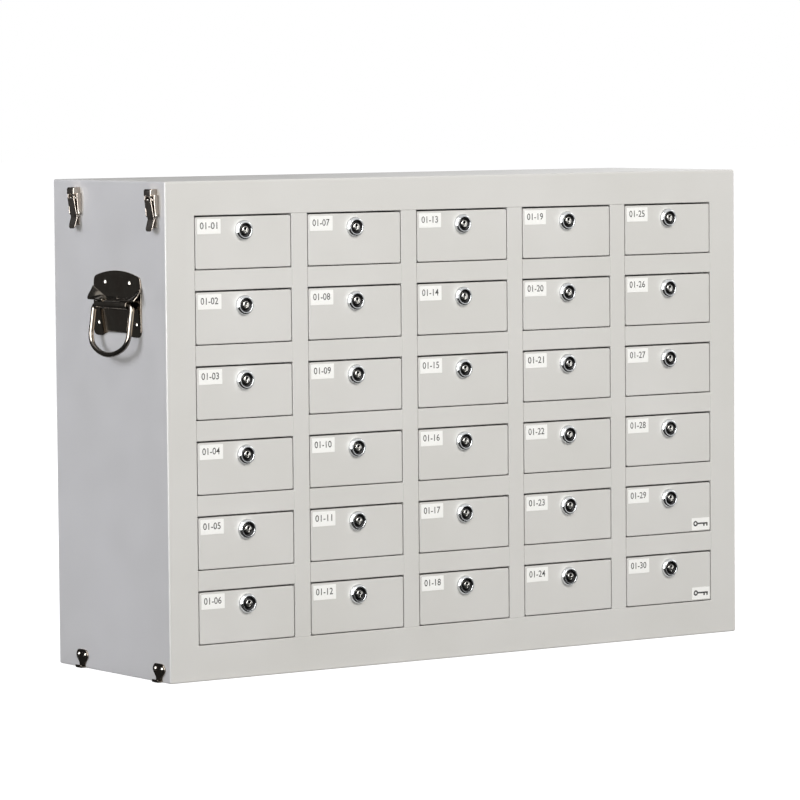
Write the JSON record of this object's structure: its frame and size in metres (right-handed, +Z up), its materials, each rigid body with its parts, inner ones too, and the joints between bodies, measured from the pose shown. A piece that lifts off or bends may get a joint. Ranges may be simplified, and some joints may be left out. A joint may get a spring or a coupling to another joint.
{
  "type": "cell phone locker box",
  "caption": "Low sheet-steel cabinet with a grid of small drop-down doors, a cam lock on each, and a drop handle, toggle latches and latch keepers on both ends.",
  "frame": {"origin": "centre of the cabinet's underside", "axes": "+X to the right along the cabinet's width seen from the front, +Y from the doors to the back panel, +Z up"},
  "size_m": [0.751, 0.2225, 0.5],
  "materials": {
    "cabinet_paint": "light grey powder coat, smooth and satin",
    "door_paint": "light grey powder coat, smooth and satin",
    "pin_steel": "plain drawn steel",
    "lock_chrome": "bright chrome on die-cast zinc",
    "handle_plating": "dark bright nickel plating",
    "latch_plating": "dark bright nickel plating",
    "rivet_steel": "bright domed heads"
  },
  "bodies": {
    "cabinet": {"left_side_panel": "cabinet_paint", "right_side_panel": "cabinet_paint", "top_panel": "cabinet_paint", "base_panel": "cabinet_paint", "back_panel": "cabinet_paint", "side_liners": "cabinet_paint", "dividers": "cabinet_paint", "cross_rails": "cabinet_paint", "shelves": "cabinet_paint", "hinge_pins": "pin_steel", "handle_plates": "handle_plating", "latch_bases": "latch_plating", "latch_pins": "latch_plating", "keepers": "latch_plating", "rivets": "rivet_steel"},
    "door_1_1": {"door_1_1": "door_paint"},
    "door_1_2": {"door_1_2": "door_paint"},
    "door_1_3": {"door_1_3": "door_paint"},
    "door_1_4": {"door_1_4": "door_paint"},
    "door_1_5": {"door_1_5": "door_paint"},
    "door_1_6": {"door_1_6": "door_paint"},
    "door_2_1": {"door_2_1": "door_paint"},
    "door_2_2": {"door_2_2": "door_paint"},
    "door_2_3": {"door_2_3": "door_paint"},
    "door_2_4": {"door_2_4": "door_paint"},
    "door_2_5": {"door_2_5": "door_paint"},
    "door_2_6": {"door_2_6": "door_paint"},
    "door_3_1": {"door_3_1": "door_paint"},
    "door_3_2": {"door_3_2": "door_paint"},
    "door_3_3": {"door_3_3": "door_paint"},
    "door_3_4": {"door_3_4": "door_paint"},
    "door_3_5": {"door_3_5": "door_paint"},
    "door_3_6": {"door_3_6": "door_paint"},
    "door_4_1": {"door_4_1": "door_paint"},
    "door_4_2": {"door_4_2": "door_paint"},
    "door_4_3": {"door_4_3": "door_paint"},
    "door_4_4": {"door_4_4": "door_paint"},
    "door_4_5": {"door_4_5": "door_paint"},
    "door_4_6": {"door_4_6": "door_paint"},
    "door_5_1": {"door_5_1": "door_paint"},
    "door_5_2": {"door_5_2": "door_paint"},
    "door_5_3": {"door_5_3": "door_paint"},
    "door_5_4": {"door_5_4": "door_paint"},
    "door_5_5": {"door_5_5": "door_paint"},
    "door_5_6": {"door_5_6": "door_paint"},
    "lock_plug_1": {"lock_plug_1": "lock_chrome"},
    "lock_plug_2": {"lock_plug_2": "lock_chrome"},
    "lock_plug_3": {"lock_plug_3": "lock_chrome"},
    "lock_plug_4": {"lock_plug_4": "lock_chrome"},
    "lock_plug_5": {"lock_plug_5": "lock_chrome"},
    "handle_ring_left": {"handle_ring_left": "handle_plating"},
    "handle_ring_right": {"handle_ring_right": "handle_plating"},
    "latch_lever_left_front": {"latch_lever_left_front": "latch_plating"},
    "latch_lever_left_rear": {"latch_lever_left_rear": "latch_plating"},
    "latch_lever_right_front": {"latch_lever_right_front": "latch_plating"},
    "latch_lever_right_rear": {"latch_lever_right_rear": "latch_plating"},
    "latch_claw_left_front": {"latch_claw_left_front": "latch_plating"},
    "latch_claw_left_rear": {"latch_claw_left_rear": "latch_plating"},
    "latch_claw_right_front": {"latch_claw_right_front": "latch_plating"},
    "latch_claw_right_rear": {"latch_claw_right_rear": "latch_plating"}
  },
  "joints": [
    {"name": "door_1_1_hinge", "type": "hinge", "parent": "cabinet", "child": "door_1_1", "pos_m": [-0.2685, -0.1062, 0.4148], "axis": [1, 0, 0], "range_deg": [0, 105]},
    {"name": "door_1_2_hinge", "type": "hinge", "parent": "cabinet", "child": "door_1_2", "pos_m": [-0.2685, -0.1062, 0.3398], "axis": [1, 0, 0], "range_deg": [0, 105]},
    {"name": "door_1_3_hinge", "type": "hinge", "parent": "cabinet", "child": "door_1_3", "pos_m": [-0.2685, -0.1062, 0.2648], "axis": [1, 0, 0], "range_deg": [0, 105]},
    {"name": "door_1_4_hinge", "type": "hinge", "parent": "cabinet", "child": "door_1_4", "pos_m": [-0.2685, -0.1062, 0.1898], "axis": [1, 0, 0], "range_deg": [0, 105]},
    {"name": "door_1_5_hinge", "type": "hinge", "parent": "cabinet", "child": "door_1_5", "pos_m": [-0.2685, -0.1062, 0.1148], "axis": [1, 0, 0], "range_deg": [0, 105]},
    {"name": "door_1_6_hinge", "type": "hinge", "parent": "cabinet", "child": "door_1_6", "pos_m": [-0.2685, -0.1062, 0.0398], "axis": [1, 0, 0], "range_deg": [0, 105]},
    {"name": "door_2_1_hinge", "type": "hinge", "parent": "cabinet", "child": "door_2_1", "pos_m": [-0.13425, -0.1062, 0.4148], "axis": [1, 0, 0], "range_deg": [0, 105]},
    {"name": "door_2_2_hinge", "type": "hinge", "parent": "cabinet", "child": "door_2_2", "pos_m": [-0.13425, -0.1062, 0.3398], "axis": [1, 0, 0], "range_deg": [0, 105]},
    {"name": "door_2_3_hinge", "type": "hinge", "parent": "cabinet", "child": "door_2_3", "pos_m": [-0.13425, -0.1062, 0.2648], "axis": [1, 0, 0], "range_deg": [0, 105]},
    {"name": "door_2_4_hinge", "type": "hinge", "parent": "cabinet", "child": "door_2_4", "pos_m": [-0.13425, -0.1062, 0.1898], "axis": [1, 0, 0], "range_deg": [0, 105]},
    {"name": "door_2_5_hinge", "type": "hinge", "parent": "cabinet", "child": "door_2_5", "pos_m": [-0.13425, -0.1062, 0.1148], "axis": [1, 0, 0], "range_deg": [0, 105]},
    {"name": "door_2_6_hinge", "type": "hinge", "parent": "cabinet", "child": "door_2_6", "pos_m": [-0.13425, -0.1062, 0.0398], "axis": [1, 0, 0], "range_deg": [0, 105]},
    {"name": "door_3_1_hinge", "type": "hinge", "parent": "cabinet", "child": "door_3_1", "pos_m": [0, -0.1062, 0.4148], "axis": [1, 0, 0], "range_deg": [0, 105]},
    {"name": "door_3_2_hinge", "type": "hinge", "parent": "cabinet", "child": "door_3_2", "pos_m": [0, -0.1062, 0.3398], "axis": [1, 0, 0], "range_deg": [0, 105]},
    {"name": "door_3_3_hinge", "type": "hinge", "parent": "cabinet", "child": "door_3_3", "pos_m": [0, -0.1062, 0.2648], "axis": [1, 0, 0], "range_deg": [0, 105]},
    {"name": "door_3_4_hinge", "type": "hinge", "parent": "cabinet", "child": "door_3_4", "pos_m": [0, -0.1062, 0.1898], "axis": [1, 0, 0], "range_deg": [0, 105]},
    {"name": "door_3_5_hinge", "type": "hinge", "parent": "cabinet", "child": "door_3_5", "pos_m": [0, -0.1062, 0.1148], "axis": [1, 0, 0], "range_deg": [0, 105]},
    {"name": "door_3_6_hinge", "type": "hinge", "parent": "cabinet", "child": "door_3_6", "pos_m": [0, -0.1062, 0.0398], "axis": [1, 0, 0], "range_deg": [0, 105]},
    {"name": "door_4_1_hinge", "type": "hinge", "parent": "cabinet", "child": "door_4_1", "pos_m": [0.13425, -0.1062, 0.4148], "axis": [1, 0, 0], "range_deg": [0, 105]},
    {"name": "door_4_2_hinge", "type": "hinge", "parent": "cabinet", "child": "door_4_2", "pos_m": [0.13425, -0.1062, 0.3398], "axis": [1, 0, 0], "range_deg": [0, 105]},
    {"name": "door_4_3_hinge", "type": "hinge", "parent": "cabinet", "child": "door_4_3", "pos_m": [0.13425, -0.1062, 0.2648], "axis": [1, 0, 0], "range_deg": [0, 105]},
    {"name": "door_4_4_hinge", "type": "hinge", "parent": "cabinet", "child": "door_4_4", "pos_m": [0.13425, -0.1062, 0.1898], "axis": [1, 0, 0], "range_deg": [0, 105]},
    {"name": "door_4_5_hinge", "type": "hinge", "parent": "cabinet", "child": "door_4_5", "pos_m": [0.13425, -0.1062, 0.1148], "axis": [1, 0, 0], "range_deg": [0, 105]},
    {"name": "door_4_6_hinge", "type": "hinge", "parent": "cabinet", "child": "door_4_6", "pos_m": [0.13425, -0.1062, 0.0398], "axis": [1, 0, 0], "range_deg": [0, 105]},
    {"name": "door_5_1_hinge", "type": "hinge", "parent": "cabinet", "child": "door_5_1", "pos_m": [0.2685, -0.1062, 0.4148], "axis": [1, 0, 0], "range_deg": [0, 105]},
    {"name": "door_5_2_hinge", "type": "hinge", "parent": "cabinet", "child": "door_5_2", "pos_m": [0.2685, -0.1062, 0.3398], "axis": [1, 0, 0], "range_deg": [0, 105]},
    {"name": "door_5_3_hinge", "type": "hinge", "parent": "cabinet", "child": "door_5_3", "pos_m": [0.2685, -0.1062, 0.2648], "axis": [1, 0, 0], "range_deg": [0, 105]},
    {"name": "door_5_4_hinge", "type": "hinge", "parent": "cabinet", "child": "door_5_4", "pos_m": [0.2685, -0.1062, 0.1898], "axis": [1, 0, 0], "range_deg": [0, 105]},
    {"name": "door_5_5_hinge", "type": "hinge", "parent": "cabinet", "child": "door_5_5", "pos_m": [0.2685, -0.1062, 0.1148], "axis": [1, 0, 0], "range_deg": [0, 105]},
    {"name": "door_5_6_hinge", "type": "hinge", "parent": "cabinet", "child": "door_5_6", "pos_m": [0.2685, -0.1062, 0.0398], "axis": [1, 0, 0], "range_deg": [0, 105]},
    {"name": "lock_1_turn", "type": "hinge", "parent": "door_1_1", "child": "lock_plug_1", "pos_m": [-0.2685, -0.109, 0.45], "axis": [0, 1, 0], "range_deg": [0, 90]},
    {"name": "lock_2_turn", "type": "hinge", "parent": "door_2_1", "child": "lock_plug_2", "pos_m": [-0.13425, -0.109, 0.45], "axis": [0, 1, 0], "range_deg": [0, 90]},
    {"name": "lock_3_turn", "type": "hinge", "parent": "door_3_1", "child": "lock_plug_3", "pos_m": [0, -0.109, 0.45], "axis": [0, 1, 0], "range_deg": [0, 90]},
    {"name": "lock_4_turn", "type": "hinge", "parent": "door_4_1", "child": "lock_plug_4", "pos_m": [0.13425, -0.109, 0.45], "axis": [0, 1, 0], "range_deg": [0, 90]},
    {"name": "lock_5_turn", "type": "hinge", "parent": "door_5_1", "child": "lock_plug_5", "pos_m": [0.2685, -0.109, 0.45], "axis": [0, 1, 0], "range_deg": [0, 90]},
    {"name": "handle_left_swing", "type": "hinge", "parent": "cabinet", "child": "handle_ring_left", "pos_m": [-0.3657, -0.017, 0.3754], "axis": [0, 1, 0], "range_deg": [-6, 82]},
    {"name": "handle_right_swing", "type": "hinge", "parent": "cabinet", "child": "handle_ring_right", "pos_m": [0.3657, -0.017, 0.3754], "axis": [0, -1, 0], "range_deg": [-6, 82]},
    {"name": "lever_left_front_turn", "type": "hinge", "parent": "cabinet", "child": "latch_lever_left_front", "pos_m": [-0.3646, -0.0884, 0.4815], "axis": [0, 1, 0], "range_deg": [0, 120]},
    {"name": "claw_left_front_turn", "type": "hinge", "parent": "latch_lever_left_front", "child": "latch_claw_left_front", "pos_m": [-0.3623, -0.0884, 0.466], "axis": [0, 1, 0], "range_deg": [-120, 0]},
    {"name": "lever_left_rear_turn", "type": "hinge", "parent": "cabinet", "child": "latch_lever_left_rear", "pos_m": [-0.3646, 0.0612, 0.4815], "axis": [0, 1, 0], "range_deg": [0, 120]},
    {"name": "claw_left_rear_turn", "type": "hinge", "parent": "latch_lever_left_rear", "child": "latch_claw_left_rear", "pos_m": [-0.3623, 0.0612, 0.466], "axis": [0, 1, 0], "range_deg": [-120, 0]},
    {"name": "lever_right_front_turn", "type": "hinge", "parent": "cabinet", "child": "latch_lever_right_front", "pos_m": [0.3646, -0.0884, 0.4815], "axis": [0, -1, 0], "range_deg": [0, 120]},
    {"name": "claw_right_front_turn", "type": "hinge", "parent": "latch_lever_right_front", "child": "latch_claw_right_front", "pos_m": [0.3623, -0.0884, 0.466], "axis": [0, -1, 0], "range_deg": [-120, 0]},
    {"name": "lever_right_rear_turn", "type": "hinge", "parent": "cabinet", "child": "latch_lever_right_rear", "pos_m": [0.3646, 0.0612, 0.4815], "axis": [0, -1, 0], "range_deg": [0, 120]},
    {"name": "claw_right_rear_turn", "type": "hinge", "parent": "latch_lever_right_rear", "child": "latch_claw_right_rear", "pos_m": [0.3623, 0.0612, 0.466], "axis": [0, -1, 0], "range_deg": [-120, 0]}
  ],
  "couplings": [
    {"joint": "claw_left_front_turn", "follows": "lever_left_front_turn", "ratio": -1},
    {"joint": "claw_left_rear_turn", "follows": "lever_left_rear_turn", "ratio": -1},
    {"joint": "claw_right_front_turn", "follows": "lever_right_front_turn", "ratio": -1},
    {"joint": "claw_right_rear_turn", "follows": "lever_right_rear_turn", "ratio": -1}
  ]
}
